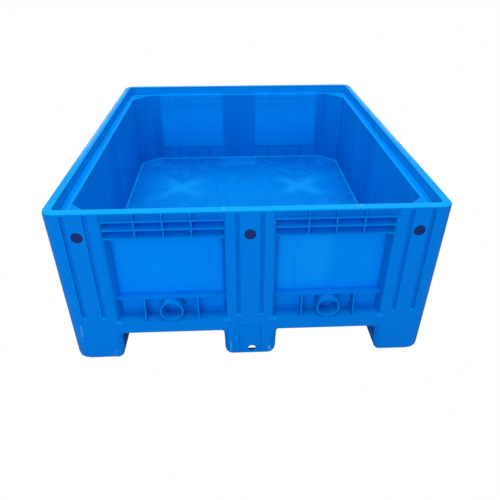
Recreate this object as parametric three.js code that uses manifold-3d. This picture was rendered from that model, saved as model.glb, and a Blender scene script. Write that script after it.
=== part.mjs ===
// Solid-walled pallet box: one moulded plastic tub on nine hollow feet, with four-way fork entry.
// Millimetres, +Z up, origin on the ground at the middle of the box. The front face is at -Y.
import * as THREE from 'three';
import { mergeVertices } from 'three/addons/utils/BufferGeometryUtils.js';
import Module from 'manifold-3d';

const wasm = await Module();
wasm.setup();

// Overall size
const boxWidth = 1000;            // along X, the short side of the pallet footprint
const boxDepth = 1200;            // along Y
const boxHeight = 470;
const outerDraft = 5.5;           // how much the outer faces lean in from the rim down to the ground
const outerCornerRadius = 32;

// Walls
const skin = 4;                   // general wall thickness of the moulding
const floorThickness = 5;
const wallInset = 45;             // from the outer face at the rim to the inner face of the tub
const innerDraft = 4;             // how much the inner face leans in from the lid seat down to the floor
const innerChamfer = 68;          // slanted inside corners of the tub
const floorTop = 146;

// Rim and lid seat
const rimBand = 23;               // flat top of the rim
const rimInnerRadius = 10;
const rimEdgeRadius = 4;
const seatDrop = 30;              // from the rim down to the ledge that carries a lid

// Feet and fork entry
const forkHeight = 92;
const footInner = 354;            // X of the fork side of a corner foot
const footInnerY = 454;           // Y of the fork side of a corner foot
const centreFoot = 73;            // half size of a middle foot
const footDraft = 3;
const footCornerRadius = 14;
const forkEdge = 28;              // rounded bottom edges of the feet along Y, in the fork entries
const outerEdge = 12;             // rounded bottom edges under the long sides
const crossEdge = 5;              // tighter bottom edges along X
const forkFillet = 5;             // between a foot and the ceiling of the fork entry
const footLandWidth = 10;         // flat ring that a foot stands on
const footRibBottom = 44;         // lower edge of the rib in a foot's hollow

// Posts and panels, in the plan of one side
const shelfTop = 130;             // top of the bar below the panels
const postSideAtWall = 75;        // half width of the middle post where it meets the wall
const postSideAtFace = 65;        // half width of the middle post at its face
const cornerPostAtWall = 149;     // from the outer corner to the panel, at the wall
const cornerPostAtFace = 140;
const postEdgeRadius = 14;        // soft upright edges of the posts

// Ribs over the panels
const ribThickness = 4;
const crateDrops = [25, 48, 72];  // the level ribs, down from the rim
const crateFields = 4;            // cells in a row
const topRowDepth = 9;            // the row under the rim is shallow

// Ledge, gussets and drain boss at the foot of each panel
const ledgeTop = 200;
const ledgeSetback = 17;
const gussetOffset = 72;          // each side of the middle of the panel
const drainHeight = 164;
const drainOuter = 65;
const drainBore = 55;

// Grooves and plugs in the post faces
const grooveWidth = 11;
const grooveDepth = 5;
const grooveBottom = 148;
const grooveDrop = 6;             // from the rim down to the upper end
const grooveSpacing = 53;         // between the two grooves of a corner post
const middleGrooveSpacing = 62;   // between the two grooves of the middle post
const cornerGrooveMiddle = 78.5;  // from the outer corner to the middle of a corner post's pair
const plugDiameter = 29;
const plugThickness = 3;
const plugDrop = 66;              // from the rim down to the middle of a plug
const plugClearance = 0.35;

// Front face of the front middle foot
const tagHoleDiameter = 22;
const tagHoleX = 5;
const tagHoleZ = 20;
const frameHalfWidth = 31;
const frameBottom = 14;
const frameTop = 108;
const frameLine = 3;
const frameLineDepth = 2;

// Ribs under the floor
const gridRib = 4;
const pocketTarget = 130;         // wanted size of a pocket between two ribs

// Sides of the round forms, few because the model is made of flat faces
const boreSides = 16;
const plugSides = 20;

const halfX = boxWidth / 2;
const halfY = boxDepth / 2;
const seatHeight = boxHeight - seatDrop;
const plugHeight = boxHeight - plugDrop;
const grooveTop = boxHeight - grooveDrop;
const crateRows = crateDrops.map((drop) => boxHeight - drop);
const over = 2;                   // how far a cutter runs past the face it opens
const outerInset = outerDraft;    // the outer face at the ground, from the widest line of the box
const deepCut = wallInset + 3 * skin; // depth of a cutter that ends behind the wall of the tub

// Turns a closed three.js geometry into a solid that can be joined and cut.
function solid(geometry) {
  const bare = geometry.clone();
  bare.deleteAttribute('normal');
  bare.deleteAttribute('uv');
  const merged = mergeVertices(bare, 1e-4);
  return new wasm.Manifold(new wasm.Mesh({
    numProp: 3,
    vertProperties: new Float32Array(merged.attributes.position.array),
    triVerts: new Uint32Array(merged.index.array),
  }));
}

function join(solids) {
  return solids.reduce((sum, next) => sum.add(next));
}

function box(x0, x1, y0, y1, z0, z1) {
  const geometry = new THREE.BoxGeometry(x1 - x0, y1 - y0, z1 - z0);
  geometry.translate((x0 + x1) / 2, (y0 + y1) / 2, (z0 + z1) / 2);
  return solid(geometry);
}

// Points of a rectangle with round corners, counter-clockwise seen from above.
function roundedRing(x0, x1, y0, y1, radius, steps = 3) {
  const points = [];
  const corners = [[x1, y1, 0], [x0, y1, 1], [x0, y0, 2], [x1, y0, 3]];
  for (const [x, y, quarter] of corners) {
    const cx = x - Math.sign(x - (x0 + x1) / 2) * radius;
    const cy = y - Math.sign(y - (y0 + y1) / 2) * radius;
    for (let i = 0; i <= steps; i += 1) {
      const angle = (quarter + i / steps) * Math.PI / 2;
      points.push(new THREE.Vector2(cx + radius * Math.cos(angle), cy + radius * Math.sin(angle)));
    }
  }
  return points;
}

// Points of a rectangle with slanted corners, counter-clockwise seen from above.
function chamferedRing(x, y, chamfer) {
  return [
    [x, y - chamfer], [x - chamfer, y], [chamfer - x, y], [-x, y - chamfer],
    [-x, chamfer - y], [chamfer - x, -y], [x - chamfer, -y], [x, chamfer - y],
  ].map(([px, py]) => new THREE.Vector2(px, py));
}

// A solid skinned over a stack of rings. Every ring has the same number of points.
function loft(levels) {
  const count = levels[0].ring.length;
  const positions = [];
  for (const { z, ring } of levels) {
    for (const point of ring) positions.push(point.x, point.y, z);
  }
  const index = [];
  for (let level = 0; level < levels.length - 1; level += 1) {
    for (let i = 0; i < count; i += 1) {
      const a = level * count + i;
      const b = level * count + (i + 1) % count;
      index.push(a, b, b + count, a, b + count, a + count);
    }
  }
  const last = (levels.length - 1) * count;
  for (let i = 1; i < count - 1; i += 1) {
    index.push(0, i + 1, i);
    index.push(last, last + i, last + i + 1);
  }
  const geometry = new THREE.BufferGeometry();
  geometry.setAttribute('position', new THREE.Float32BufferAttribute(positions, 3));
  geometry.setIndex(index);
  return solid(geometry);
}

// How far the outer face has leaned in at a height.
function draftAt(z) {
  return outerDraft * (boxHeight - z) / boxHeight;
}

// How far a rounded bottom edge of some radius has pulled in at a height above its lowest point.
function edgeInset(radius, rise) {
  return rise >= radius ? 0 : radius - Math.sqrt(radius ** 2 - (radius - rise) ** 2);
}

// Heights at which the bottom edges of a form are drawn, for a wall moved in by inset.
function edgeHeights(radius, inset) {
  const wide = radius - inset;
  const tight = crossEdge - inset;
  return [0, tight * 0.3, tight, wide * 0.5, wide].map((rise) => inset + rise);
}

// Ring of the outer form at a height, moved in by inset, with the bottom edges rounded.
function outerRing(z, inset) {
  const lean = draftAt(z) + inset;
  const dx = lean + edgeInset(outerEdge - inset, z - inset);
  const dy = lean + edgeInset(crossEdge - inset, z - inset);
  return roundedRing(dx - halfX, halfX - dx, dy - halfY, halfY - dy, outerCornerRadius - inset, 4);
}

// The outer form of the whole box, as a filled block.
function outerForm() {
  const levels = edgeHeights(outerEdge, 0).map((z) => ({ z, ring: outerRing(z, 0) }));
  for (const turn of [0, 0.5, 1]) {
    const angle = turn * Math.PI / 2;
    const z = boxHeight - rimEdgeRadius * (1 - Math.sin(angle));
    const inset = rimEdgeRadius * (1 - Math.cos(angle));
    levels.push({ z, ring: outerRing(z, inset) });
  }
  return loft(levels);
}

// The space inside the outer skin, which opens at the ground.
function insideSkin() {
  const levels = edgeHeights(outerEdge, skin).map((z) => ({ z, ring: outerRing(z, skin) }));
  levels.push({ z: boxHeight - skin, ring: outerRing(boxHeight - skin, skin) });
  return loft(levels);
}

// Half sizes of the tub's inner face at a height, grown by extra.
function tubRing(z, extra) {
  const lean = innerDraft * (seatHeight - z) / (seatHeight - floorTop);
  const inset = wallInset + lean - extra;
  return chamferedRing(halfX - inset, halfY - inset, innerChamfer);
}

function rimRing(extra) {
  const inset = rimBand - extra;
  return roundedRing(inset - halfX, halfX - inset, inset - halfY, halfY - inset, rimInnerRadius + extra);
}

// The load space: the tub down to the floor, and the wider recess over the lid seat.
function loadSpace(extra = 0) {
  const bottom = extra > 0 ? floorTop - floorThickness : floorTop;
  const seat = extra > 0 ? seatHeight - skin : seatHeight;
  const top = boxHeight + over;
  const tub = loft([
    { z: bottom, ring: tubRing(bottom, extra) },
    { z: seatHeight + over, ring: tubRing(seatHeight + over, extra) },
  ]);
  const rim = loft([
    { z: seat, ring: rimRing(extra) },
    { z: top, ring: rimRing(extra) },
  ]);
  return tub.add(rim);
}

// Where the three feet of a row begin and end along one axis. The outer feet are drawn past
// the box, so that only their inner edges are round before the outer form trims them.
function footSpans(half, inner) {
  const past = half + forkEdge + over;
  return [
    { from: -past, to: -inner },
    { from: -centreFoot, to: centreFoot },
    { from: inner, to: past },
  ];
}

// One foot with rounded bottom edges. The hollow in it is the same form moved in by inset.
function footForm(spanX, spanY, inset) {
  const top = floorTop - floorThickness;
  function ring(z, grow) {
    const lean = inset - grow + footDraft * Math.max(forkHeight - z, 0) / forkHeight;
    const dx = lean + edgeInset(forkEdge - inset, z - inset);
    const dy = lean + edgeInset(crossEdge - inset, z - inset);
    const corner = footCornerRadius - inset;
    return roundedRing(spanX.from + dx, spanX.to - dx, spanY.from + dy, spanY.to - dy, corner, 2);
  }
  const levels = edgeHeights(forkEdge, inset).map((z) => ({ z, ring: ring(z, 0) }));
  const flare = inset > 0 ? 0 : forkFillet;
  levels.push({ z: forkHeight - forkFillet, ring: ring(forkHeight - forkFillet, 0) });
  levels.push({ z: forkHeight, ring: ring(forkHeight, flare) });
  levels.push({ z: top, ring: ring(top, flare) });
  return loft(levels);
}

// The way into a foot's hollow from below, inside the flat ring that the foot stands on.
function footMouth(spanX, spanY) {
  const dx = forkEdge + footDraft + footLandWidth;
  const dy = crossEdge + footDraft + footLandWidth;
  const x0 = Math.max(spanX.from, outerInset - halfX) + dx;
  const x1 = Math.min(spanX.to, halfX - outerInset) - dx;
  const y0 = Math.max(spanY.from, outerInset - halfY) + dy;
  const y1 = Math.min(spanY.to, halfY - outerInset) - dy;
  const ring = roundedRing(x0, x1, y0, y1, footCornerRadius, 2);
  return loft([{ z: -over, ring }, { z: forkEdge, ring }]);
}

// Rib from front to back across the hollow of a foot.
function footRib(spanX, spanY) {
  const x = (Math.max(spanX.from, -halfX) + Math.min(spanX.to, halfX)) / 2;
  return box(x - gridRib / 2, x + gridRib / 2, spanY.from, spanY.to, footRibBottom, floorTop);
}

// The four sides share one plan, drawn for the front and turned about the Z axis.
const sides = [
  { turn: 0, face: halfY, run: halfX, hasDrains: true },
  { turn: Math.PI, face: halfY, run: halfX, hasDrains: true },
  { turn: Math.PI / 2, face: halfX, run: halfY, hasDrains: false },
  { turn: -Math.PI / 2, face: halfX, run: halfY, hasDrains: false },
];

// Leans a geometry with the outer face, turns it to its side and makes it a solid.
function placed(geometry, side) {
  const position = geometry.attributes.position;
  for (let i = 0; i < position.count; i += 1) {
    position.setY(i, position.getY(i) + draftAt(position.getZ(i)));
  }
  geometry.rotateZ(side.turn);
  return solid(geometry);
}

function sideBox(side, u0, u1, depth0, depth1, z0, z1) {
  const geometry = new THREE.BoxGeometry(u1 - u0, depth1 - depth0, z1 - z0);
  geometry.translate((u0 + u1) / 2, (depth0 + depth1) / 2 - side.face, (z0 + z1) / 2);
  return placed(geometry, side);
}

// A round bar that points into the side.
function sideRound(side, u, z, radius, depth0, depth1, segments) {
  const geometry = new THREE.CylinderGeometry(radius, radius, depth1 - depth0, segments);
  geometry.translate(u, (depth0 + depth1) / 2 - side.face, z);
  return placed(geometry, side);
}

// An outline in the plane of the face, pushed from depth0 to depth1.
function sidePlate(side, shape, depth0, depth1, curveSegments) {
  const geometry = new THREE.ExtrudeGeometry(shape, {
    depth: depth1 - depth0, bevelEnabled: false, curveSegments,
  });
  geometry.rotateX(Math.PI / 2);
  geometry.translate(0, depth1 - side.face, 0);
  return placed(geometry, side);
}

// Upright plate with a slanted front, from the ledge out to the bar.
function gusset(side, u) {
  const profile = new THREE.Shape();
  profile.moveTo(ledgeSetback, ledgeTop);
  profile.lineTo(deepCut, ledgeTop);
  profile.lineTo(deepCut, shelfTop - over);
  profile.lineTo(0, shelfTop - over);
  const geometry = new THREE.ExtrudeGeometry(profile, { depth: ribThickness, bevelEnabled: false });
  geometry.rotateX(Math.PI / 2);
  geometry.rotateZ(Math.PI / 2);
  geometry.translate(u - ribThickness / 2, -side.face, 0);
  return placed(geometry, side);
}

// The two panels of a side, from the middle post out to a corner post.
function baysOf(side) {
  return [-1, 1].map((hand) => ({
    hand,
    wallFrom: postSideAtWall,
    wallTo: side.run - cornerPostAtWall,
    faceFrom: postSideAtFace,
    faceTo: side.run - cornerPostAtFace,
    middle: (postSideAtWall + side.run - cornerPostAtWall) / 2,
  }));
}

// Everything that is open in front of a panel, with soft edges along the posts.
function bayBlock(side, bay) {
  const { hand, wallFrom, wallTo, faceFrom, faceTo } = bay;
  const r = postEdgeRadius;
  const plan = new THREE.Shape();
  plan.moveTo(hand * wallFrom, deepCut);
  plan.lineTo(hand * faceFrom, r);
  plan.quadraticCurveTo(hand * faceFrom, 0, hand * (faceFrom - r), 0);
  plan.lineTo(hand * (faceFrom - r), -over);
  plan.lineTo(hand * (faceTo + r), -over);
  plan.lineTo(hand * (faceTo + r), 0);
  plan.quadraticCurveTo(hand * faceTo, 0, hand * faceTo, r);
  plan.lineTo(hand * wallTo, deepCut);
  const geometry = new THREE.ExtrudeGeometry(plan, {
    depth: boxHeight - skin - shelfTop, bevelEnabled: false, curveSegments: 3,
  });
  geometry.translate(0, -side.face, shelfTop);
  return placed(geometry, side);
}

// Ribs, ledge, gussets and drain boss that stay in front of a panel.
function bayRibs(side, bay) {
  const from = bay.hand > 0 ? bay.faceFrom - over : -bay.faceTo - over;
  const to = bay.hand > 0 ? bay.faceTo + over : over - bay.faceFrom;
  const middle = bay.hand * bay.middle;
  const r = ribThickness / 2;
  const parts = crateRows.map((z) => sideBox(side, from, to, -over, deepCut, z - r, z + r));
  const bottomRow = Math.min(...crateRows);
  const topRow = Math.max(...crateRows);
  parts.push(sideBox(side, from, to, topRowDepth, deepCut, topRow, boxHeight));
  const width = bay.wallTo - bay.wallFrom;
  for (let i = 1; i < crateFields; i += 1) {
    const u = bay.hand * (bay.wallFrom + width * i / crateFields);
    parts.push(sideBox(side, u - r, u + r, -over, deepCut, bottomRow, boxHeight));
  }
  parts.push(sideBox(side, from, to, ledgeSetback, deepCut, ledgeTop - ribThickness, ledgeTop));
  parts.push(gusset(side, middle - gussetOffset));
  parts.push(gusset(side, middle + gussetOffset));
  if (side.hasDrains) {
    const boss = sideRound(side, middle, drainHeight, drainOuter / 2, 0, deepCut, boreSides);
    const bore = sideRound(side, middle, drainHeight, drainBore / 2, -over, deepCut + over, boreSides);
    return join(parts).subtract(bore).add(boss.subtract(bore));
  }
  parts.push(gusset(side, middle));
  return join(parts);
}

// The posts of a side: where their pair of grooves is centred and how far apart the grooves are.
function postsOf(side) {
  const corner = side.run - cornerGrooveMiddle;
  return [
    { middle: -corner, spacing: grooveSpacing },
    { middle: 0, spacing: middleGrooveSpacing },
    { middle: corner, spacing: grooveSpacing },
  ];
}

// A groove with a round lower end.
function groove(side, u) {
  const r = grooveWidth / 2;
  const shape = new THREE.Shape();
  shape.moveTo(u - r, grooveTop);
  shape.lineTo(u - r, grooveBottom + r);
  shape.absarc(u, grooveBottom + r, r, Math.PI, 2 * Math.PI, false);
  shape.lineTo(u + r, grooveTop);
  return sidePlate(side, shape, -over, grooveDepth, 4);
}

// The pair of grooves in the face of a post.
function groovePair(side, post) {
  return groove(side, post.middle - post.spacing / 2).add(groove(side, post.middle + post.spacing / 2));
}

// Thicker wall behind a pair of grooves and the plug seat between them.
function grooveBacking(side, post) {
  const reach = (post.spacing + grooveWidth) / 2 + skin;
  const low = grooveBottom - skin;
  return sideBox(side, post.middle - reach, post.middle + reach, -over, grooveDepth + skin, low, boxHeight);
}

function plugSeat(side, post) {
  const radius = plugDiameter / 2 + plugClearance;
  const depth = plugThickness + plugClearance;
  return sideRound(side, post.middle, plugHeight, radius, -over, depth, plugSides);
}

// The hollow behind the faces of the posts, with the wall kept round grooves and plug seats.
function postHollows(skinSpace, tubOutside) {
  const reach = wallInset + over;
  const blocks = [];
  for (const side of sides) {
    const u = postSideAtFace - skin;
    blocks.push(sideBox(side, -u, u, -over, reach, forkHeight, boxHeight));
  }
  const c = cornerPostAtFace - skin;
  for (const sx of [-1, 1]) {
    for (const sy of [-1, 1]) {
      const xs = [sx * (halfX - c), sx * (halfX + over)].sort((a, b) => a - b);
      const ys = [sy * (halfY - c), sy * (halfY + over)].sort((a, b) => a - b);
      blocks.push(box(xs[0], xs[1], ys[0], ys[1], forkHeight, boxHeight));
    }
  }
  const backing = sides.flatMap((side) => postsOf(side).map((post) => grooveBacking(side, post)));
  return skinSpace.subtract(tubOutside).intersect(join(blocks)).subtract(join(backing));
}

// Where the ribs under the floor run along one axis: the foot walls and even steps between them.
function ribLines(inner) {
  const count = Math.round((inner - centreFoot) / pocketTarget);
  const step = (inner + gridRib - centreFoot) / count;
  const lines = [];
  for (const hand of [-1, 1]) {
    for (let i = 0; i <= count; i += 1) lines.push(hand * (centreFoot - gridRib / 2 + step * i));
  }
  return lines;
}

// The pockets between the ribs under the floor and behind the bars.
function basePockets(skinSpace) {
  const low = forkHeight - over;
  const high = floorTop - floorThickness;
  const tub = loft([low, high].map((z) => ({ z, ring: tubRing(floorTop, 0) })));
  const tubWall = loft([low, high].map((z) => ({ z, ring: tubRing(floorTop, skin) })));
  const bars = skinSpace.intersect(box(-halfX, halfX, -halfY, halfY, low, shelfTop - skin));
  const r = gridRib / 2;
  const ribsAcrossX = ribLines(footInner).map((x) => box(x - r, x + r, -halfY, halfY, low, floorTop));
  const ribsAcrossY = ribLines(footInnerY).map((y) => box(-halfX, halfX, y - r, y + r, low, floorTop));
  return bars.subtract(tubWall).add(tub).subtract(join([...ribsAcrossX, ...ribsAcrossY]));
}

// Fine outline pressed into the front of the front middle foot.
function footOutline(side) {
  const low = frameBottom;
  const outer = sideBox(side, -frameHalfWidth, frameHalfWidth, -over, frameLineDepth, low, frameTop);
  const w = frameHalfWidth - frameLine;
  const inner = sideBox(side, -w, w, -2 * over, frameLineDepth + over, low + frameLine, frameTop - frameLine);
  return outer.subtract(inner);
}

function boxBody() {
  const skinSpace = insideSkin();
  const tubOutside = loadSpace(skin);
  const tubBase = loft([shelfTop - over, floorTop].map((z) => ({ z, ring: tubRing(floorTop, skin) })));
  const spansX = footSpans(halfX, footInner);
  const spansY = footSpans(halfY, footInnerY);
  const pairs = spansX.flatMap((spanX) => spansY.map((spanY) => [spanX, spanY]));
  const feet = join(pairs.map(([x, y]) => footForm(x, y, 0)));
  const forkSpace = box(-halfX - over, halfX + over, -halfY - over, halfY + over, -over, forkHeight)
    .subtract(feet);
  const low = box(-halfX, halfX, -halfY, halfY, 0, shelfTop - skin);
  const underFloor = loft([0, floorTop - floorThickness].map((z) => ({ z, ring: tubRing(floorTop, 0) })));
  const footSpace = skinSpace.intersect(low.add(underFloor));
  const footHollows = pairs.map(([x, y]) => footForm(x, y, skin)
    .intersect(footSpace)
    .add(footMouth(x, y))
    .subtract(footRib(x, y)));
  const bays = sides.flatMap((side) => baysOf(side).map((bay) => (
    bayBlock(side, bay).subtract(bayRibs(side, bay)).subtract(tubOutside.add(tubBase))
  )));
  const grooves = sides.flatMap((side) => postsOf(side).map((post) => groovePair(side, post)));
  const front = sides[0];
  const seats = postsOf(front).map((post) => plugSeat(front, post));
  const tagHole = sideRound(front, tagHoleX, tagHoleZ, tagHoleDiameter / 2, -over, 3 * skin, boreSides);
  return outerForm()
    .subtract(forkSpace)
    .subtract(loadSpace())
    .subtract(join(bays))
    .subtract(basePockets(skinSpace))
    .subtract(join(footHollows))
    .subtract(postHollows(skinSpace, tubOutside))
    .subtract(join([...grooves, ...seats, tagHole, footOutline(front)]));
}

function toMesh(shape, name, material) {
  const { numProp, vertProperties, triVerts } = shape.getMesh();
  if (numProp !== 3) throw new Error(`${name} carries more than positions`);
  const geometry = new THREE.BufferGeometry();
  geometry.setAttribute('position', new THREE.Float32BufferAttribute(vertProperties, 3));
  geometry.setIndex(Array.from(triVerts));
  geometry.computeVertexNormals();
  const mesh = new THREE.Mesh(geometry, material);
  mesh.name = name;
  return mesh;
}

const bluePlastic = new THREE.MeshStandardMaterial({ color: 0x0478e6, roughness: 0.42, metalness: 0 });
const darkPlastic = new THREE.MeshStandardMaterial({ color: 0x1c2b69, roughness: 0.5, metalness: 0 });

// A round plug pressed flush into its seat, leaning with the face of the post.
function plug(name, x) {
  const geometry = new THREE.CylinderGeometry(plugDiameter / 2, plugDiameter / 2, plugThickness, plugSides);
  const mesh = new THREE.Mesh(geometry, darkPlastic);
  mesh.name = name;
  mesh.position.set(x, draftAt(plugHeight) - halfY + plugThickness / 2, plugHeight);
  mesh.rotation.x = Math.atan(outerDraft / boxHeight);
  return mesh;
}

const palletBox = new THREE.Group();
palletBox.add(toMesh(boxBody(), 'box_body', bluePlastic));
const frontPosts = postsOf(sides[0]);
['plug_front_left', 'plug_front_centre', 'plug_front_right'].forEach((name, i) => {
  palletBox.add(plug(name, frontPosts[i].middle));
});

export default palletBox;
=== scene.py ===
# Pallet box in blue plastic, seen from the front and a little from above, as in the photograph.
# Metres, +Z up, the front face at -Y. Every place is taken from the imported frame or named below.
from math import radians

import bpy
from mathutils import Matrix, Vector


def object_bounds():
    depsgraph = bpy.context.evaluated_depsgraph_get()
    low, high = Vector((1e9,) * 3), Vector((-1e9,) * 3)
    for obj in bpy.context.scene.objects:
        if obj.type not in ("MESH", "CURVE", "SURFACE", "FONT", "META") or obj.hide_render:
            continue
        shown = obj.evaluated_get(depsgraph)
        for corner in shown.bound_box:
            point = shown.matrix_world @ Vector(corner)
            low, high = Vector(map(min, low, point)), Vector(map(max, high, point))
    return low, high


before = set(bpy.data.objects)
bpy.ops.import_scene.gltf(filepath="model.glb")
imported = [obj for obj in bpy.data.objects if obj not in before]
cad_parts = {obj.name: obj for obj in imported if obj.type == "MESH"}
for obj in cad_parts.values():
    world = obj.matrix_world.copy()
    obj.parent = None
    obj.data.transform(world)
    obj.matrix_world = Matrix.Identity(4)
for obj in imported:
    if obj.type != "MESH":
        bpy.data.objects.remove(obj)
size_at_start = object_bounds()

# Heights of the moulding
HEIGHT = size_at_start[1][2]
SEAT_HEIGHT = 0.440
TOP_ROW = 0.444
CRATE_BOTTOM = 0.398
CRATE_STEP = 0.024
LEDGE_TOP = 0.200
DRAIN_HEIGHT = 0.164
GROOVE_BOTTOM = 0.148
FLOOR_TOP = 0.146
SHELF_TOP = 0.130
FORK_HEIGHT = 0.092

# Plan of the moulding, measured from its middle or inwards from its outer faces
HALF_X = (size_at_start[1][0] - size_at_start[0][0]) / 2
HALF_Y = (size_at_start[1][1] - size_at_start[0][1]) / 2
WALL_INSET = 0.045
WALL = 0.004
WALL_LEAN = 0.0136
CHAMFER = 0.068
RIM_BAND = 0.023
# Where the painted shade on the lid seat lies, measured inward from the rim's inner face
SEAT_SHADE_BAND = (0.0035, 0.0135)
POST_HALF = 0.075
POST_FACE = 0.065
CORNER_POST = 0.149
CORNER_POST_FACE = 0.140
SIDE_KNOT = 0.090
GUSSET_OFFSET = 0.072
GROOVE_HALF = 0.0046
GROOVE_OFFSETS = ((0.0, 0.031), (0.0785, 0.0265))  # middle of a pair from the corner, half its spread
CENTRE_FOOT = 0.073
FOOT_INNER_X = 0.354
FOOT_INNER_Y = 0.454

# Depths from the middle of the wall, negative outside it: where a mask is 0 and where it is 1
WALL_DEPTH = (0.008, 0.0056)
SKIN_DEPTH = (-0.010, -0.004)
BAY_DEPTH = (-0.042, -0.034)
SHELF_DEPTH = (-0.036, -0.010)
CHEEK_DEPTH = (-0.004, -0.008)
GROOVE_DEPTH = (-0.030, -0.034)
OFF_FACE_DEPTH = (-0.030, -0.022)
KNOT_DEPTH = (0.016, 0.008)
FILLET_DEPTH = (0.0085, 0.0055)

# Soft ends of the masks, and half widths of thin lines
FACE_SOFT = 0.0006
FINE_SOFT = 0.0012
SOFT = 0.002
ROW_SOFT = 0.003
MARK_SOFT = 0.004
BAND_SOFT = 0.005
SHELF_SOFT = 0.006
PANEL_SOFT = 0.009
WIDE_SOFT = 0.012
LINE_CORE = 0.35
DIAGONAL = 0.707
RIB_LINE = 0.005
RUN_OUT_LINE = 0.006
KNOT_LINE = 0.007
GROOVE_END_LINE = 0.0040
TURN_LINE = 0.018

# Half widths of the shadows that the outside ribs show through the thin wall
LEDGE_SHADOW = 0.008
GUSSET_SHADOW = 0.011
RIB_SHADOW = 0.007
LOW_ROW_SHADOW = 0.010
HIGH_ROW_SHADOW = 0.008
DRAIN_SHADOW = (0.030, 0.014)
TOP_SHADE = (0.330, 0.395)
TOP_SHADE_STRENGTH = 0.52
HIGH_SHADOW_STRENGTH = 0.75
# Strengths of the painted glow and the painted rib shadows in the end and the long panels
END_LIGHT = 0.46
END_SHADE = 0.68
LONG_LIGHT = 0.12
LONG_SHADE = 0.12

# How low the general wear lies, from where to where it grows
LOW_WEAR = (0.085, 0.015)
RIM_WEAR = (HEIGHT - 0.006, HEIGHT - 0.001)

# Pale crosses in the floor, where the plastic flowed from its gates
GATE = (0.242, 0.228)
STREAK_REACH = 0.175
STREAK_CORE = 0.02
STREAK_WIDTH = 0.048
STREAK_WANDER = 0.07
STREAK_NOISE = (9.0, 4.0)

# Edges and shading of the meshes
BODY_EDGE = 0.0012
PLUG_EDGE = 0.0006
EDGE_SEGMENTS = 2
WELD_REACH = 0.00002
FLAT_DEGREES = 0.5
SHARP_DEGREES = 28
NORMAL_WEIGHT = 60

# The photograph's camera, worked out from the box's own corners
CAMERA_PLACE = (-0.0461, -1.6102, 1.0095)
CAMERA_PITCH = 31.56
CAMERA_YAW = 2.54
CAMERA_LENS = 34.60
CAMERA_SHIFT = (0.0002, -0.0201)
CAMERA_FAR = 50.0

# Ground, sky and lights
GROUND_SIZE = 14.0
GROUND_PLACE = (0.0, 2.0, 0.0)
GROUND_GREY = (0.55, 0.55, 0.55)
WHITE = (1.0, 1.0, 1.0)
SKY = (0.93, 0.96, 1.0, 1.0)
SKY_STRENGTH = 0.62
LIGHTS = (
    # name, place, turn in degrees, width, watts
    ("overhead", (0.0, 0.2, 3.2), (0.0, 0.0, 0.0), 3.0, 62.0),
    ("front_fill", (-0.6, -3.2, 1.2), (72.0, 0.0, -10.0), 2.2, 40.0),
)

# Colours as linear red, green, blue
# Painted light: faces that face up are painted this lighter blue, as if lit from above
BLUE_TOP_PAINTED_LIGHT = (0.0, 0.31, 0.86)
BLUE_UPRIGHT = (0.0, 0.180, 0.69)
# Painted glow: the thin outer panels painted paler, as if light shone through them from inside
BLUE_PANEL_PAINTED_GLOW = (0.0, 0.235, 0.84)
# Painted glow: the rib bays under the rim painted paler, as if light shone through the wall behind them
BLUE_BAY_PAINTED_GLOW = (0.0, 0.33, 1.0)
# Painted glow through the thin inner panels and on the long walls near the front; also the colour of the
# melt's flow streaks
BLUE_PAINTED_GLOW_AND_FLOW = (0.0, 0.335, 0.92)
BLUE_FLOOR = (0.0, 0.225, 0.74)
# Painted shade on the floor, towards its ends and sides
BLUE_FLOOR_PAINTED_SHADE = (0.0, 0.105, 0.51)
# Paler tones of the melt, the floor's flow crosses and ripples, and the painted highlight on the floor's
# fillet
BLUE_LIGHTER = (0.01, 0.42, 0.92)
# Painted shade: the colour of the shaded places, in the top row of bays, on cheeks turned from the light,
# on the shelf, low on the inner walls and in one back corner
BLUE_PAINTED_SHADE = (0.0, 0.12, 0.50)
# Painted highlight: small glints at the grooves' lower ends, at the posts' edges on the floor and where
# the posts run out into the bar
BLUE_PAINTED_GLINT = (0.0, 0.45, 1.0)
# Painted shade on the feet's sides by the fork ways
BLUE_FOOT_PAINTED_SHADE = (0.0, 0.09, 0.48)
# Painted light: the cheeks of the posts painted lighter than their faces
BLUE_CHEEK_PAINTED_LIGHT = (0.0, 0.27, 0.80)
BLUE_DEEP = (0.0, 0.20, 0.67)
# Painted shade in the grooves of the posts
BLUE_GROOVE_PAINTED_SHADE = (0.0, 0.12, 0.52)
# Painted shade on the outer part of the lid seat
BLUE_SEAT_PAINTED_SHADE = (0.0, 0.20, 0.66)
# Painted light: the top of the front rim painted paler than the other rims
BLUE_RIM_PAINTED_LIGHT = (0.0, 0.345, 0.84)
# Painted light: the rim's inner face painted lighter than the other upright faces
BLUE_RIM_FACE_PAINTED_LIGHT = (0.0, 0.27, 0.72)
# Painted sheen along the outer top edges of the long sides' rim
RIM_PAINTED_SHEEN = (0.19, 0.48, 0.90)
SCUFF = (0.17, 0.47, 0.86)
DIRT = (0.02, 0.06, 0.22)
PLUG_BLUE = (0.004, 0.020, 0.130)
PLUG_DUST = (0.010, 0.07, 0.28)

# Gloss and roughness of the two plastics
GLOSS = 0.06
GLOSS_TINT = (0.08, 0.55, 1.0)
PLASTIC_IOR = 1.4
SMOOTHEST = 0.40
ROUGH_BY_WAVES = 0.12
ROUGH_BY_WEAR = 0.25
PLUG_GLOSS = 0.12
PLUG_DUST_STRENGTH = 0.18
PLUG_ROUGHNESS = 0.5

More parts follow.
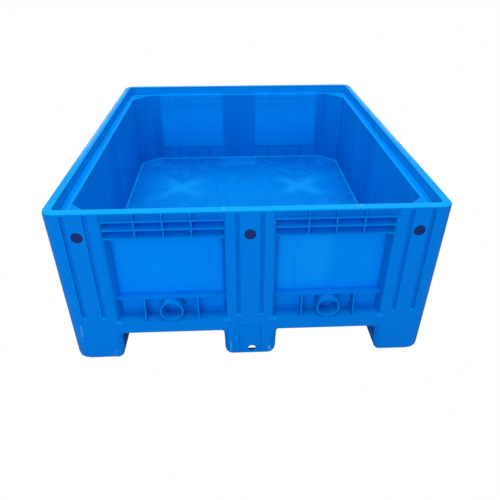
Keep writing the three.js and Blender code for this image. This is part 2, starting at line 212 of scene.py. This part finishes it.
# Noise textures: scale, detail, distortion, roughness, height scale, and the values it rises between
TEXTURES = {
    "drift": (6.0, 3.0, 0.4, 0.55, 0.25, 0.45, 0.68),
    "ripples": (16.0, 6.0, 1.4, 0.65, 1.0, 0.47, 0.62),
    "flow": (15.0, 5.0, 0.5, 0.55, 0.10, 0.42, 0.66),
    "cloud": (7.0, 5.0, 0.6, 0.55, 1.0, 0.35, 0.68),
    "flecks": (55.0, 3.0, 0.0, 0.55, 1.0, 0.58, 0.75),
    "rubs": (30.0, 6.0, 0.4, 0.55, 1.0, 0.62, 0.74),
    "scratches": (70.0, 3.0, 0.1, 0.55, 0.14, 0.70, 0.745),
    "mark": (240.0, 3.0, 0.0, 0.55, 1.0, 0.40, 0.56),
    "rim_patches": (12.0, 5.0, 0.0, 0.55, 1.0, 0.4, 0.6),
    "plug_dust": (160.0, 4.0, 0.0, 0.55, 1.0, 0.5, 0.75),
}

# Bumps of the surface: noise scale, noise detail, strength, height
PEEL = (420.0, 2.0, 0.10, 0.0006)
WAVES = (11.0, 3.0, 0.30, 0.004)
GRAIN = (900.0, 2.0, 0.2, 0.0004)

# Single scratches and rubs: x, y, z, half width, half height, strength
MARKS = (
    (-0.4645, -0.596, 0.103, 0.0026, 0.018, 0.50),
    (-0.4690, -0.596, 0.076, 0.0020, 0.010, 0.35),
    (-0.0550, -0.596, 0.029, 0.0022, 0.020, 0.35),
    (0.0545, -0.596, 0.019, 0.0050, 0.010, 0.30),
    (-0.0630, -0.583, 0.470, 0.0030, 0.006, 0.35),
    (0.2690, -0.578, 0.470, 0.0070, 0.006, 0.40),
)
MARK_DEPTH = 0.010


class Graph:
    """A material's node tree, built one value at a time."""

    def __init__(self, name):
        self.material = bpy.data.materials.new(name)
        self.material.use_nodes = True
        self.tree = self.material.node_tree
        self.tree.nodes.clear()

    def put(self, socket, value):
        if isinstance(value, bpy.types.NodeSocket):
            self.tree.links.new(value, socket)
        elif hasattr(socket.default_value, "__len__") and len(value) < len(socket.default_value):
            socket.default_value = (*value, 1.0)
        else:
            socket.default_value = value

    def node(self, kind, inputs=None, **settings):
        made = self.tree.nodes.new(kind)
        for key, value in settings.items():
            setattr(made, key, value)
        for key, value in (inputs or {}).items():
            self.put(made.inputs[key], value)
        return made

    def math(self, operation, a, b=0.0, clamp=False):
        made = self.node("ShaderNodeMath", operation=operation, use_clamp=clamp)
        self.put(made.inputs[0], a)
        self.put(made.inputs[1], b)
        return made.outputs[0]

    def plus(self, a, b):
        return self.math("ADD", a, b)

    def less(self, a, b):
        return self.math("SUBTRACT", a, b)

    def size(self, value):
        return self.math("ABSOLUTE", value)

    def lowest(self, a, b):
        return self.math("MINIMUM", a, b)

    def product(self, *values):
        result = values[0]
        for value in values[1:]:
            result = self.math("MULTIPLY", result, value)
        return result

    def either(self, *values):
        """The highest of several masks."""
        result = values[0]
        for value in values[1:]:
            result = self.math("MAXIMUM", result, value)
        return result

    def step(self, value, start, end):
        """Rises smoothly from 0 at start to 1 at end."""
        made = self.node(
            "ShaderNodeMapRange",
            {"Value": value, "From Min": start, "From Max": end},
            interpolation_type="SMOOTHSTEP",
        )
        return made.outputs[0]

    def within(self, value, low_end, high_end, soft):
        """1 between the two ends, falling to 0 over the soft distance."""
        rise = self.step(value, low_end - soft, low_end + soft)
        fall = self.step(value, high_end + soft, high_end - soft)
        return self.product(rise, fall)

    def line(self, value, place, half_width):
        """1 on a thin line where a value passes a place."""
        distance = self.size(self.less(value, place))
        return self.step(distance, half_width, half_width * LINE_CORE)

    def mix(self, factor, a, b):
        made = self.node("ShaderNodeMix", data_type="RGBA")
        self.put(made.inputs["Factor"], factor)
        self.put(made.inputs[6], a)
        self.put(made.inputs[7], b)
        return made.outputs[2]

    def noise(self, scale, detail, vector=None, distortion=0.0, roughness=0.55):
        inputs = {"Scale": scale, "Detail": detail, "Distortion": distortion, "Roughness": roughness}
        if vector is not None:
            inputs["Vector"] = vector
        return self.node("ShaderNodeTexNoise", inputs).outputs["Fac"]

    def texture(self, name, place):
        """A noise texture by name, drawn out up and down where its height scale is under 1."""
        scale, detail, distortion, roughness, height_scale, start, end = TEXTURES[name]
        inputs = {0: place, 1: (1.0, 1.0, height_scale)}
        scaled = self.node("ShaderNodeVectorMath", inputs, operation="MULTIPLY").outputs[0]
        return self.step(self.noise(scale, detail, scaled, distortion, roughness), start, end)

    def bump(self, height, strength, distance):
        inputs = {"Strength": strength, "Distance": distance, "Height": height}
        return self.node("ShaderNodeBump", inputs)

    def finish(self, surface):
        output = self.node("ShaderNodeOutputMaterial")
        self.tree.links.new(surface, output.inputs["Surface"])
        return self.material


class Side:
    """One pair of opposite sides, the two ends or the two long sides, with its masks."""

    def __init__(self, g, along, depth, half, across):
        panel_end = half - CORNER_POST
        self.along = along
        self.depth = depth
        self.half = half
        self.width = panel_end - POST_HALF
        self.middle = (POST_HALF + panel_end) / 2
        self.near = g.step(depth, *WALL_DEPTH)
        self.panel = g.product(self.near, g.within(along, POST_HALF, panel_end, PANEL_SOFT))
        self.skin = g.product(self.panel, g.step(depth, *SKIN_DEPTH))
        self.bays = g.product(self.panel, g.step(depth, *BAY_DEPTH))
        self.shelf = g.product(self.panel, g.step(depth, *SHELF_DEPTH))
        self.post_cheeks = g.product(
            g.step(across, 0.5, 0.9),
            g.step(depth, *CHEEK_DEPTH),
            g.step(along, half - 0.03, half - 0.06),
        )


class Places:
    """Where a point of the box is, as values and as masks from 0 to 1."""

    def __init__(self, g):
        self.place = g.node("ShaderNodeTexCoord").outputs["Object"]
        self.x, self.y, self.z = g.node("ShaderNodeSeparateXYZ", {0: self.place}).outputs
        self.ax = g.size(self.x)
        self.ay = g.size(self.y)
        normal = g.node("ShaderNodeNewGeometry").outputs["Normal"]
        self.normal = g.node("ShaderNodeSeparateXYZ", {0: normal}).outputs
        self.facing_up = g.step(self.normal[2], 0.15, 0.85)

        # The middle of the tub's wall leans with the wall, and parts its inside from its outside
        lean = g.product(g.less(SEAT_HEIGHT, self.z), WALL_LEAN)
        self.tub_x = g.less(HALF_X - WALL_INSET + WALL / 2, lean)
        self.tub_y = g.less(HALF_Y - WALL_INSET + WALL / 2, lean)
        depth_x = g.less(self.tub_x, self.ax)
        depth_y = g.less(self.tub_y, self.ay)
        self.above_floor = g.step(self.z, FLOOR_TOP - 0.003, FLOOR_TOP - 0.001)
        self.inside = g.product(
            g.step(depth_x, -FACE_SOFT, FACE_SOFT),
            g.step(depth_y, -FACE_SOFT, FACE_SOFT),
            self.above_floor,
            g.step(self.z, SEAT_HEIGHT + 0.002, SEAT_HEIGHT - 0.001),
        )
        self.outside = g.less(1.0, self.inside)
        self.on_floor = g.product(self.inside, g.step(self.z, FLOOR_TOP + 0.004, FLOOR_TOP + 0.001))
        self.wall_inside = g.product(self.inside, g.less(1.0, self.on_floor))
        self.ends = Side(g, self.ax, depth_y, HALF_X, g.size(self.normal[0]))
        self.longs = Side(g, self.ay, depth_x, HALF_Y, g.size(self.normal[1]))

        # The plain part of the panels, above the ledge, and the part below it
        self.plain = g.within(self.z, LEDGE_TOP + 0.002, HEIGHT, BAND_SOFT)
        self.low_band = g.less(1.0, self.plain)


def floor_streaks(g, p):
    """Pale crosses where the plastic flowed from its four gates, in the floor."""
    from_x = g.less(p.ax, GATE[0])
    from_y = g.less(p.ay, GATE[1])
    wander = g.product(g.less(g.noise(*STREAK_NOISE), 0.5), STREAK_WANDER)
    arms = []
    for hand in (1.0, -1.0):
        turned = g.product(from_y, hand)
        along = g.product(g.plus(from_x, turned), DIAGONAL)
        across = g.product(g.less(from_x, turned), DIAGONAL)
        across = g.size(g.plus(across, wander))
        arms.append(g.product(
            g.step(across, STREAK_WIDTH, 0.0),
            g.step(g.size(along), STREAK_REACH, STREAK_CORE),
        ))
    return g.either(*arms)


def foot_patches(g, p):
    """1 over the hollow feet, where the painted floor shade is weaker."""
    spans_x = ((-0.1, CENTRE_FOOT), (FOOT_INNER_X, HALF_X))
    spans_y = ((-0.1, CENTRE_FOOT), (FOOT_INNER_Y, HALF_Y))
    patches = []
    for x0, x1 in spans_x:
        for y0, y1 in spans_y:
            patches.append(g.product(
                g.within(p.ax, x0, x1, WIDE_SOFT),
                g.within(p.ay, y0, y1, WIDE_SOFT),
            ))
    return g.either(*patches)


def groove_bands(g, side):
    """1 over the upright grooves of one pair of opposite sides."""
    bands = []
    for from_corner, offset in GROOVE_OFFSETS:
        middle = side.half - from_corner if from_corner else 0.0
        from_middle = g.size(g.less(side.along, middle))
        bands.append(g.within(from_middle, offset - GROOVE_HALF, offset + GROOVE_HALF, FINE_SOFT))
    return g.product(g.either(*bands), g.step(side.depth, *GROOVE_DEPTH))


def post_distance(g, side):
    """How far a point of the outer face is from a post's upright edge, on one pair of sides."""
    to_middle = g.size(g.less(side.along, POST_FACE))
    to_corner = g.size(g.less(side.along, side.half - CORNER_POST_FACE))
    off_face = g.step(side.depth, *OFF_FACE_DEPTH)
    return g.plus(g.lowest(to_middle, to_corner), off_face)


def upright_ribs(g, side, half_width):
    """1 on the three upright ribs under the rim of one panel."""
    from_middle = g.size(g.less(side.along, side.middle))
    return g.either(
        g.line(from_middle, 0.0, half_width),
        g.line(from_middle, side.width / 4, half_width),
    )


def rib_shadows(g, side, z, has_drain):
    """Painted shadows of one panel's outside ribs, dark where they would show through the thin wall from
    inside.
    """
    ledge = g.line(z, LEDGE_TOP - 0.002, LEDGE_SHADOW)
    from_middle = g.size(g.less(side.along, side.middle))
    gussets = g.line(from_middle, GUSSET_OFFSET, GUSSET_SHADOW)
    below_ledge = g.step(z, LEDGE_TOP + 0.001, LEDGE_TOP - 0.004)
    if has_drain:
        rise = g.less(z, DRAIN_HEIGHT)
        square = g.plus(g.math("POWER", from_middle, 2.0), g.math("POWER", rise, 2.0))
        centre = g.step(g.math("SQRT", square), *DRAIN_SHADOW)
    else:
        centre = g.line(from_middle, 0.0, RIB_SHADOW)
    low = g.product(g.either(gussets, centre), below_ledge)
    top_zone = g.step(z, CRATE_BOTTOM - 0.004, CRATE_BOTTOM + 0.002)
    high = g.either(
        g.line(z, CRATE_BOTTOM, LOW_ROW_SHADOW),
        g.line(z, CRATE_BOTTOM + CRATE_STEP, HIGH_ROW_SHADOW),
        g.product(upright_ribs(g, side, RIB_SHADOW), top_zone),
        g.product(g.step(z, *TOP_SHADE), TOP_SHADE_STRENGTH),
    )
    return g.either(ledge, low, g.product(high, HIGH_SHADOW_STRENGTH))


def panel_light(g, p, side, light, shade, has_drain):
    """Painted glow of a single-walled panel, as if light came through it, less where painted rib shadows
    fall.
    """
    shadow = g.product(rib_shadows(g, side, p.z, has_drain), shade)
    shining = g.plus(g.product(p.plain, light), light)
    return g.product(side.panel, g.math("SUBTRACT", shining, shadow, True))


# Each function below returns coats of colour: where it lies, how strongly, and the colour.

def outer_coats(g, p):
    """Faces seen from outside: painted light on faces that face up, a painted glow in the thin panels and
    the rib bays under the rim, painted shade in the top row of bays, painted light and shade on the post
    cheeks, painted shade on the shelf by the drains.
    """
    z = p.z
    skin = g.product(g.either(p.ends.skin, p.longs.skin), p.outside)
    thin = g.product(skin, g.within(z, LEDGE_TOP, CRATE_BOTTOM, WIDE_SOFT))
    drift = g.texture("drift", p.place)

    bays = g.product(g.either(p.ends.bays, p.longs.bays), p.outside)
    in_rows = g.within(z, CRATE_BOTTOM + 0.001, TOP_ROW, ROW_SOFT)
    in_top_row = g.within(z, TOP_ROW + 0.004, HEIGHT - 0.008, ROW_SOFT)
    ribs = g.either(
        g.product(p.ends.panel, upright_ribs(g, p.ends, RIB_LINE)),
        g.product(p.longs.panel, upright_ribs(g, p.longs, RIB_LINE)),
    )

    beside_panels = g.within(z, SHELF_TOP, HEIGHT, BAND_SOFT)
    cheeks = g.product(p.outside, beside_panels, g.either(p.ends.post_cheeks, p.longs.post_cheeks))
    cheeks_painted_shade = g.product(cheeks, g.step(p.normal[0], -0.5, -0.9))

    on_shelf = g.within(z, SHELF_TOP, FLOOR_TOP, SHELF_SOFT)
    shelf = g.product(g.either(p.ends.shelf, p.longs.shelf), p.outside, on_shelf)
    return [
        # painted light on every face that faces up
        (p.facing_up, 1.0, BLUE_TOP_PAINTED_LIGHT),
        # painted glow on the thin outer panels, weaker below the ledge
        (thin, 1.0, BLUE_PANEL_PAINTED_GLOW),
        (g.product(skin, p.low_band), 0.6, BLUE_PANEL_PAINTED_GLOW),
        (g.product(drift, thin), 0.22, BLUE_LIGHTER),
        # painted glow in the rib bays
        (g.product(bays, in_rows), 1.0, BLUE_BAY_PAINTED_GLOW),
        # painted shade in the top row of bays and on its upright ribs, under the rim
        (g.product(bays, in_top_row), 0.45, BLUE_PAINTED_SHADE),
        (g.product(ribs, p.outside, in_top_row), 0.55, BLUE_PAINTED_SHADE),
        # painted light on the post cheeks, and painted shade on the cheeks that face -X
        (cheeks, 0.8, BLUE_CHEEK_PAINTED_LIGHT),
        (cheeks_painted_shade, 0.62, BLUE_PAINTED_SHADE),
        # painted shade on the shelf below the panels
        (shelf, 0.55, BLUE_PAINTED_SHADE),
    ]


def inner_coats(g, p):
    """Double walls, the painted glow of the paler panels between them with painted rib shadows, and the
    floor with painted shade towards its ends and sides.
    """
    light = g.either(
        panel_light(g, p, p.ends, END_LIGHT, END_SHADE, True),
        panel_light(g, p, p.longs, LONG_LIGHT, LONG_SHADE, False),
    )
    to_ends = g.step(p.ay, 0.20, 0.50)
    to_sides = g.product(g.step(p.ax, 0.30, 0.46), 0.5)
    over_ribs = g.less(1.0, g.product(foot_patches(g, p), 0.75))
    shade = g.product(g.either(to_ends, to_sides), over_ribs, p.on_floor)
    ripples = g.texture("ripples", p.place)
    return [
        (p.wall_inside, 1.0, BLUE_DEEP),
        # painted glow in the thin inner panels, with painted rib shadows
        (g.product(light, p.wall_inside), 1.0, BLUE_PAINTED_GLOW_AND_FLOW),
        (p.on_floor, 1.0, BLUE_FLOOR),
        # painted shade on the floor towards its ends and sides, weaker over the feet
        (shade, 0.70, BLUE_FLOOR_PAINTED_SHADE),
        (g.product(floor_streaks(g, p), p.on_floor), 0.45, BLUE_LIGHTER),
        (g.product(ripples, p.on_floor), 0.15, BLUE_LIGHTER),
    ]


def rim_coats(g, p):
    """Painted light on the front rim's top and on the rim's inner face; the lid seat bright along the tub,
    with painted shade towards the rim.
    """
    z = p.z
    on_top = g.step(z, HEIGHT - 0.008, HEIGHT - 0.004)
    front_rim_painted_light = g.product(p.facing_up, on_top, g.step(p.y, -0.50, -0.56))
    from_face = g.lowest(g.less(HALF_X, p.ax), g.less(HALF_Y, p.ay))
    from_rim = g.less(from_face, RIM_BAND)
    seat_level = g.within(z, SEAT_HEIGHT - 0.002, SEAT_HEIGHT + 0.004, SOFT)
    on_seat = g.product(seat_level, p.facing_up, g.step(from_rim, -0.003, 0.0))
    seat_painted_shade = g.product(g.within(from_rim, *SEAT_SHADE_BAND, FINE_SOFT), on_seat)
    inner_face = g.product(
        g.within(z, SEAT_HEIGHT + 0.003, HEIGHT - 0.004, SOFT),
        g.within(from_rim, -0.003, 0.004, SOFT),
    )
    return [
        # painted light on the front rim's top
        (front_rim_painted_light, 1.0, BLUE_RIM_PAINTED_LIGHT),
        # painted shade on the lid seat's outer part
        (seat_painted_shade, 0.55, BLUE_SEAT_PAINTED_SHADE),
        # painted light on the rim's inner face
        (inner_face, 1.0, BLUE_RIM_FACE_PAINTED_LIGHT),
    ]


def groove_coats(g, p):
    """Painted shade in the grooves of the posts, darker than the faces round them, and a painted glint at
    their lower ends.
    """
    bands = g.either(groove_bands(g, p.ends), groove_bands(g, p.longs))
    length = g.within(p.z, GROOVE_BOTTOM + 0.002, HEIGHT - 0.006, ROW_SOFT)
    lower_end = g.line(p.z, GROOVE_BOTTOM - 0.001, GROOVE_END_LINE)
    return [
        (g.product(bands, length), 0.38, BLUE_GROOVE_PAINTED_SHADE),
        (g.product(bands, lower_end), 0.40, BLUE_PAINTED_GLINT),
    ]


def foot_coats(g, p):
    """Painted shade on the feet's sides, turning dark towards the fork ways."""
    turns_painted_shade = g.either(
        g.line(p.ax, CENTRE_FOOT, TURN_LINE),
        g.line(p.ax, FOOT_INNER_X, TURN_LINE),
        g.line(p.ay, CENTRE_FOOT, TURN_LINE),
        g.line(p.ay, FOOT_INNER_Y, TURN_LINE),
    )
    below_bar = g.step(p.z, FORK_HEIGHT + 0.004, FORK_HEIGHT - 0.004)
    return [(g.product(turns_painted_shade, below_bar, p.outside), 0.5, BLUE_FOOT_PAINTED_SHADE)]


def fillet_coats(g, p):
    """Painted highlight on the fillet where the floor meets the walls, with a small painted glint at each
    post's edge.
    """
    slant = g.less(g.plus(p.tub_x, p.tub_y), g.plus(p.ax, p.ay))
    slant = g.product(g.less(slant, CHAMFER), DIAGONAL)
    nearest = g.lowest(g.lowest(p.longs.depth, p.ends.depth), slant)
    at_foot = g.step(p.z, FLOOR_TOP + 0.007, FLOOR_TOP + 0.004)
    fillet = g.product(at_foot, g.step(nearest, *FILLET_DEPTH), p.above_floor, p.inside)
    knots_painted_glint = g.either(
        g.product(g.line(p.ax, POST_HALF, KNOT_LINE), g.step(p.ends.depth, *KNOT_DEPTH)),
        g.product(g.line(p.ay, SIDE_KNOT, KNOT_LINE), g.step(p.longs.depth, *KNOT_DEPTH)),
    )
    knots_painted_glint = g.product(knots_painted_glint, p.inside, g.step(p.z, FLOOR_TOP + 0.013, FLOOR_TOP + 0.009))
    return [
        # painted highlight on the fillet and painted glints at the posts' edges
        (fillet, 0.75, BLUE_LIGHTER),
        (knots_painted_glint, 0.8, BLUE_PAINTED_GLINT),
    ]


def wall_coats(g, p):
    """Flow streaks down the inner walls; painted shade towards the floor and in one back corner, and
    painted light on the long walls near the front.
    """
    flow = g.texture("flow", p.place)
    sink_painted_shade = g.product(g.step(p.z, 0.36, FLOOR_TOP), p.wall_inside)
    near_front_painted_light = g.product(p.longs.near, p.wall_inside, g.step(p.y, 0.25, -0.50))
    back_corner_painted_shade = g.product(g.step(p.x, 0.36, 0.41), g.step(p.y, 0.0, 0.30))
    return [
        # the melt's flow streaks, in the paler glow colour
        (g.product(flow, p.wall_inside), 0.22, BLUE_PAINTED_GLOW_AND_FLOW),
        # painted shade towards the floor, painted light near the front, painted shade in one back corner
        (sink_painted_shade, 0.28, BLUE_PAINTED_SHADE),
        (near_front_painted_light, 0.18, BLUE_PAINTED_GLOW_AND_FLOW),
        (g.product(p.ends.near, p.wall_inside, back_corner_painted_shade), 0.25, BLUE_PAINTED_SHADE),
    ]


def melt_coats(g, p):
    """Soft mottling of the melt, and painted highlights on the fillets where the posts run out into the
    bar.
    """
    cloud = g.texture("cloud", p.place)
    flecks = g.texture("flecks", p.place)
    from_post = g.lowest(post_distance(g, p.ends), post_distance(g, p.longs))
    at_shelf = g.line(p.z, SHELF_TOP, RUN_OUT_LINE)
    run_out_painted_glint = g.product(at_shelf, g.step(from_post, 0.014, 0.003), p.outside)
    return [
        (cloud, 0.12, BLUE_DEEP),
        (flecks, 0.07, BLUE_LIGHTER),
        # painted highlight where the posts run out into the bar
        (run_out_painted_glint, 0.40, BLUE_PAINTED_GLINT),
    ]


def general_wear(g, p):
    """Pale rubs low on the feet and along the rim, and fine upright scratches."""
    low_down = g.step(p.z, *LOW_WEAR)
    on_rim = g.step(p.z, *RIM_WEAR)
    rubs = g.product(g.texture("rubs", p.place), g.either(low_down, g.product(on_rim, 0.5)))
    scratches = g.product(g.texture("scratches", p.place), g.plus(low_down, 0.10))
    return g.math("ADD", g.product(rubs, 0.12), g.product(scratches, 0.5), True)


def wear_coats(g, p, wear):
    """General wear, the single marks, a patchy painted sheen along the outer top edges of the long sides'
    rim, and a few dark specks.
    """
    coats = [(wear, 1.0, SCUFF)]
    for mark_x, mark_y, mark_z, half_x, half_z, strength in MARKS:
        mark = g.product(
            g.within(p.x, mark_x - half_x, mark_x + half_x, FINE_SOFT),
            g.within(p.z, mark_z - half_z, mark_z + half_z, MARK_SOFT),
            g.within(p.y, mark_y - MARK_DEPTH, mark_y + MARK_DEPTH, MARK_SOFT),
            g.texture("mark", p.place),
        )
        coats.append((mark, strength, SCUFF))
    # Painted sheen: a patchy pale band along the outer top edge of the long sides' rim, fading out towards
    # the front
    patchy = g.texture("rim_patches", p.place)
    rim_edge_painted_sheen = g.product(
        g.step(p.ax, HALF_X - 0.014, HALF_X - 0.009),
        g.step(p.z, *RIM_WEAR),
        g.step(p.y, -0.40, -0.05),
        g.plus(0.45, g.product(patchy, 0.55)),
    )
    cells = g.node("ShaderNodeTexVoronoi", {"Vector": p.place, "Scale": 7.0, "Randomness": 1.0})
    specks = g.product(g.step(cells.outputs["Distance"], 0.034, 0.018), p.inside)
    coats.append((rim_edge_painted_sheen, 0.85, RIM_PAINTED_SHEEN))
    coats.append((specks, 0.5, DIRT))
    return coats


def blue_plastic():
    """Moulded blue polyethylene: slightly mottled, scuffed low down, with painted light and shade: thin
    walls painted paler than double ones as a glow, painted shade in recesses, painted highlights on edges.
    """
    g = Graph("blue_moulded_plastic")
    p = Places(g)
    wear = general_wear(g, p)
    coats = [
        *outer_coats(g, p),
        *inner_coats(g, p),
        *rim_coats(g, p),
        *groove_coats(g, p),
        *foot_coats(g, p),
        *fillet_coats(g, p),
        *wall_coats(g, p),
        *melt_coats(g, p),
        *wear_coats(g, p, wear),
    ]
    colour = BLUE_UPRIGHT
    for where, strength, paint in coats:
        colour = g.mix(g.product(where, strength), colour, paint)

    # Surface: faint orange peel over slow waves, rougher where it is worn
    waves = g.noise(*WAVES[:2], p.place)
    peel = g.bump(g.noise(*PEEL[:2], p.place), *PEEL[2:])
    sag = g.bump(waves, *WAVES[2:])
    g.put(sag.inputs["Normal"], peel.outputs[0])
    rough = g.plus(SMOOTHEST, g.product(waves, ROUGH_BY_WAVES))
    rough = g.plus(rough, g.product(wear, ROUGH_BY_WEAR))
    shader = g.node(
        "ShaderNodeBsdfPrincipled",
        {
            "Base Color": colour,
            "Roughness": rough,
            "IOR": PLASTIC_IOR,
            "Specular IOR Level": GLOSS,
            "Specular Tint": GLOSS_TINT,
            "Normal": sag.outputs[0],
        },
    )
    return g.finish(shader.outputs[0])


def dark_plastic():
    """Dark plug: matt, a little dusty."""
    g = Graph("dark_plug_plastic")
    place = g.node("ShaderNodeTexCoord").outputs["Object"]
    dust = g.product(g.texture("plug_dust", place), PLUG_DUST_STRENGTH)
    colour = g.mix(dust, PLUG_BLUE, PLUG_DUST)
    grain = g.bump(g.noise(*GRAIN[:2], place), *GRAIN[2:])
    shader = g.node(
        "ShaderNodeBsdfPrincipled",
        {
            "Base Color": colour,
            "Roughness": PLUG_ROUGHNESS,
            "Specular IOR Level": PLUG_GLOSS,
            "Normal": grain.outputs[0],
        },
    )
    return g.finish(shader.outputs[0])


def white_for_camera():
    """Pale ground that looks plain white and still throws back light."""
    g = Graph("pale_ground")
    path = g.node("ShaderNodeLightPath")
    seen = g.either(path.outputs["Is Camera Ray"], path.outputs["Is Transmission Ray"])
    diffuse = g.node("ShaderNodeBsdfDiffuse", {"Color": GROUND_GREY})
    bright = g.node("ShaderNodeEmission", {"Color": WHITE, "Strength": 1.0})
    mixed = g.node("ShaderNodeMixShader", {0: seen, 1: diffuse.outputs[0], 2: bright.outputs[0]})
    return g.finish(mixed.outputs[0])


def soften_edges(piece, width):
    """Rounds the moulding's edges over its planar faces."""
    weld = piece.modifiers.new("weld", "WELD")
    weld.merge_threshold = WELD_REACH
    flat = piece.modifiers.new("flat", "DECIMATE")
    flat.decimate_type = "DISSOLVE"
    flat.angle_limit = radians(FLAT_DEGREES)
    bevel = piece.modifiers.new("bevel", "BEVEL")
    bevel.width = width
    bevel.segments = EDGE_SEGMENTS
    bevel.limit_method = "ANGLE"
    bevel.angle_limit = radians(SHARP_DEGREES)
    bevel.harden_normals = False
    bevel.use_clamp_overlap = True
    piece.data.shade_smooth()
    normals = piece.modifiers.new("normals", "WEIGHTED_NORMAL")
    normals.keep_sharp = True
    normals.weight = NORMAL_WEIGHT


def dress(name, material):
    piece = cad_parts[name]
    piece.data.materials.clear()
    piece.data.materials.append(material)
    return piece


def make_ground():
    bpy.ops.mesh.primitive_plane_add(size=GROUND_SIZE, location=GROUND_PLACE)
    ground = bpy.context.active_object
    ground.name = "ground"
    ground.data.materials.append(white_for_camera())


def make_world():
    world = bpy.data.worlds.new("plain_sky")
    bpy.context.scene.world = world
    world.use_nodes = True
    tree = world.node_tree
    tree.nodes.clear()
    path = tree.nodes.new("ShaderNodeLightPath")
    sky = tree.nodes.new("ShaderNodeBackground")
    sky.inputs["Color"].default_value = SKY
    sky.inputs["Strength"].default_value = SKY_STRENGTH
    white = tree.nodes.new("ShaderNodeBackground")
    white.inputs["Color"].default_value = (*WHITE, 1.0)
    white.inputs["Strength"].default_value = 1.0
    mixed = tree.nodes.new("ShaderNodeMixShader")
    output = tree.nodes.new("ShaderNodeOutputWorld")
    tree.links.new(path.outputs["Is Camera Ray"], mixed.inputs[0])
    tree.links.new(sky.outputs[0], mixed.inputs[1])
    tree.links.new(white.outputs[0], mixed.inputs[2])
    tree.links.new(mixed.outputs[0], output.inputs["Surface"])


def make_light(name, place, turn, width, watts):
    data = bpy.data.lights.new(name, "AREA")
    data.shape = "SQUARE"
    data.size = width
    data.energy = watts
    light = bpy.data.objects.new(name, data)
    light.location = place
    light.rotation_euler = [radians(angle) for angle in turn]
    bpy.context.scene.collection.objects.link(light)


def make_camera():
    data = bpy.data.cameras.new("photo_camera")
    data.lens = CAMERA_LENS
    data.shift_x, data.shift_y = CAMERA_SHIFT
    data.clip_end = CAMERA_FAR
    camera = bpy.data.objects.new("photo_camera", data)
    camera.location = CAMERA_PLACE
    camera.rotation_euler = (radians(90.0 - CAMERA_PITCH), 0.0, radians(-CAMERA_YAW))
    bpy.context.scene.collection.objects.link(camera)
    bpy.context.scene.camera = camera


soften_edges(dress("box_body", blue_plastic()), BODY_EDGE)
plug_material = dark_plastic()
for side in ("left", "centre", "right"):
    soften_edges(dress(f"plug_front_{side}", plug_material), PLUG_EDGE)

make_ground()
make_world()
for light_settings in LIGHTS:
    make_light(*light_settings)
make_camera()
bpy.context.scene.view_settings.view_transform = "Standard"
